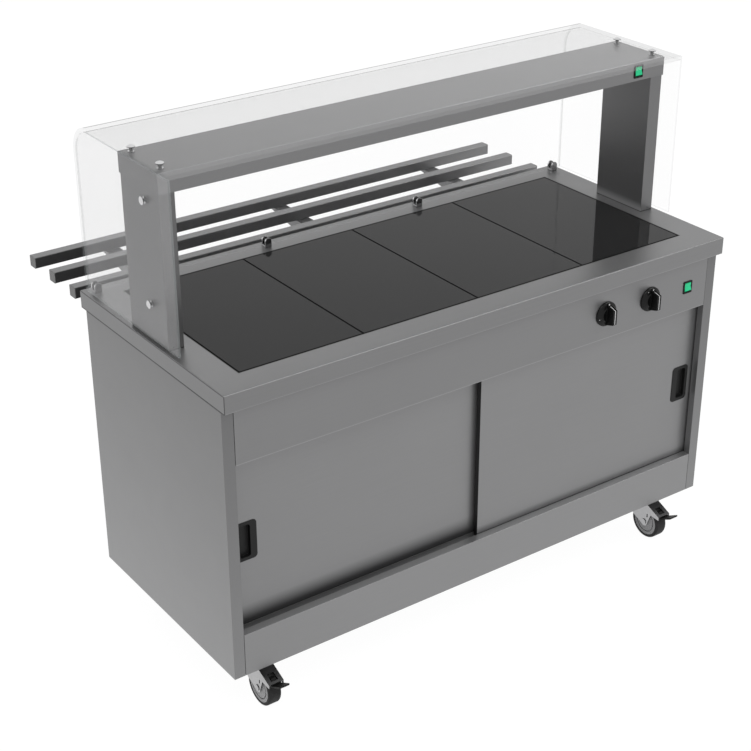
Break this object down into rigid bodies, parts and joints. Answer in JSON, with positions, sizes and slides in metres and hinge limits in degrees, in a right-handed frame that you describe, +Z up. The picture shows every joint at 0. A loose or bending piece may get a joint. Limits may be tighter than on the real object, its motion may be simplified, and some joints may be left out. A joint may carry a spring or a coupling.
{
  "type": "hot cupboard servery counter",
  "caption": "Mobile servery counter: a sliding-door hot cupboard under a heated glass hob, with a lamp gantry, a curved glass guard, tray rails and braked castors.",
  "frame": {"origin": "on the floor, under the middle of the counter's overall size", "axes": "+X along the counter, to the servers' right; +Y towards the customers and the tray rails; +Z up"},
  "size_m": [1.513, 1.014, 1.3492],
  "materials": {
    "satin_steel": "satin folded stainless sheet with a fine grain along the panels",
    "dark_steel": "plain rolled steel, unpolished",
    "hob_glass": "black ceramic glass, polished",
    "clear_glass": "clear toughened glass with ground edges",
    "black_plastic": "black moulded plastic, fine texture",
    "knob_black": "black moulded plastic, semi-gloss",
    "green_lens": "green lit lens, glossy",
    "chrome": "polished chrome plate",
    "zinc": "bright zinc plate on pressed steel",
    "aluminium": "bright rolled aluminium",
    "tyre": "black non-marking rubber",
    "hub_grey": "grey moulded wheel centre",
    "nylon": "white nylon",
    "ceramic": "pale moulded housing",
    "sealant": "black silicone bead",
    "quartz": "frosted quartz tube"
  },
  "bodies": {
    "root": {"worktop": "satin_steel", "hob_seal": "sealant", "hob_tiles": "hob_glass", "hob_heaters": "sealant", "hob_tray": "dark_steel", "side_panel_left": "satin_steel", "side_panel_right": "satin_steel", "back_panel": "satin_steel", "base_pan": "dark_steel", "bottom_rail": "satin_steel", "control_fascia": "satin_steel", "cupboard_lining": "satin_steel", "cupboard_ceiling": "satin_steel", "cupboard_floor": "satin_steel", "cupboard_shelf": "satin_steel", "bottom_track": "satin_steel", "top_track": "satin_steel", "heating_element": "dark_steel", "hob_regulator": "ceramic", "thermostat": "ceramic", "switch_bezels": "black_plastic", "gantry_posts": "satin_steel", "gantry_beam": "satin_steel", "lamp_reflector": "aluminium", "heat_lamps": "quartz", "guard_glass": "clear_glass", "end_glasses": "clear_glass", "glass_clips": "chrome", "glass_bolts": "chrome", "tray_rails": "satin_steel", "rail_caps": "black_plastic", "rail_brackets": "satin_steel", "cable_gland": "black_plastic", "castor_plates": "zinc"},
    "door_left": {"door_left": "satin_steel", "handle_left": "black_plastic", "glides_left": "nylon"},
    "door_right": {"door_right": "satin_steel", "handle_right": "black_plastic", "glides_right": "nylon"},
    "knob_left": {"knob_left": "knob_black", "spindle_left": "zinc"},
    "knob_right": {"knob_right": "knob_black", "spindle_right": "zinc"},
    "rocker_fascia": {"rocker_fascia": "green_lens"},
    "rocker_gantry": {"rocker_gantry": "green_lens"},
    "swivel_1": {"castor_fork_1": "zinc"},
    "wheel_1": {"castor_hub_1": "hub_grey", "castor_tyre_1": "tyre"},
    "swivel_2": {"castor_fork_2": "zinc"},
    "wheel_2": {"castor_hub_2": "hub_grey", "castor_tyre_2": "tyre"},
    "swivel_3": {"castor_fork_3": "zinc"},
    "wheel_3": {"castor_hub_3": "hub_grey", "castor_tyre_3": "tyre"},
    "swivel_4": {"castor_fork_4": "zinc"},
    "wheel_4": {"castor_hub_4": "hub_grey", "castor_tyre_4": "tyre"},
    "pedal_1": {"brake_pedal_1": "black_plastic"},
    "pedal_2": {"brake_pedal_2": "black_plastic"}
  },
  "joints": [
    {"name": "door_left_slide", "type": "slide", "parent": "root", "child": "door_left", "axis": [1, 0, 0], "range_m": [0, 0.721]},
    {"name": "door_right_slide", "type": "slide", "parent": "root", "child": "door_right", "axis": [1, 0, 0], "range_m": [-0.721, 0]},
    {"name": "knob_left_turn", "type": "hinge", "parent": "root", "child": "knob_left", "pos_m": [0.368, -0.467, 0.788], "axis": [0, 1, 0], "range_deg": [0, 270]},
    {"name": "knob_right_turn", "type": "hinge", "parent": "root", "child": "knob_right", "pos_m": [0.52, -0.467, 0.788], "axis": [0, 1, 0], "range_deg": [0, 270]},
    {"name": "rocker_fascia_press", "type": "hinge", "parent": "root", "child": "rocker_fascia", "pos_m": [0.655, -0.462, 0.786], "axis": [1, 0, 0], "range_deg": [0, 16]},
    {"name": "rocker_gantry_press", "type": "hinge", "parent": "root", "child": "rocker_gantry", "pos_m": [0.655, -0.2255, 1.307], "axis": [1, 0, 0], "range_deg": [0, 16]},
    {"name": "swivel_1_turn", "type": "hinge", "parent": "root", "child": "swivel_1", "pos_m": [-0.642, -0.379, 0.119], "axis": [0, 0, 1], "continuous": true},
    {"name": "swivel_2_turn", "type": "hinge", "parent": "root", "child": "swivel_2", "pos_m": [0.642, -0.379, 0.119], "axis": [0, 0, 1], "continuous": true},
    {"name": "swivel_3_turn", "type": "hinge", "parent": "root", "child": "swivel_3", "pos_m": [-0.642, 0.089, 0.119], "axis": [0, 0, 1], "continuous": true},
    {"name": "swivel_4_turn", "type": "hinge", "parent": "root", "child": "swivel_4", "pos_m": [0.642, 0.089, 0.119], "axis": [0, 0, 1], "continuous": true},
    {"name": "wheel_1_spin", "type": "hinge", "parent": "swivel_1", "child": "wheel_1", "pos_m": [-0.642, -0.415, 0.05], "axis": [1, 0, 0], "continuous": true},
    {"name": "wheel_2_spin", "type": "hinge", "parent": "swivel_2", "child": "wheel_2", "pos_m": [0.642, -0.415, 0.05], "axis": [1, 0, 0], "continuous": true},
    {"name": "wheel_3_spin", "type": "hinge", "parent": "swivel_3", "child": "wheel_3", "pos_m": [-0.642, 0.053, 0.05], "axis": [1, 0, 0], "continuous": true},
    {"name": "wheel_4_spin", "type": "hinge", "parent": "swivel_4", "child": "wheel_4", "pos_m": [0.642, 0.053, 0.05], "axis": [1, 0, 0], "continuous": true},
    {"name": "pedal_1_press", "type": "hinge", "parent": "swivel_1", "child": "pedal_1", "pos_m": [-0.642, -0.459, 0.08505], "axis": [1, 0, 0], "range_deg": [0, 20]},
    {"name": "pedal_2_press", "type": "hinge", "parent": "swivel_2", "child": "pedal_2", "pos_m": [0.642, -0.459, 0.08505], "axis": [1, 0, 0], "range_deg": [0, 20]}
  ]
}
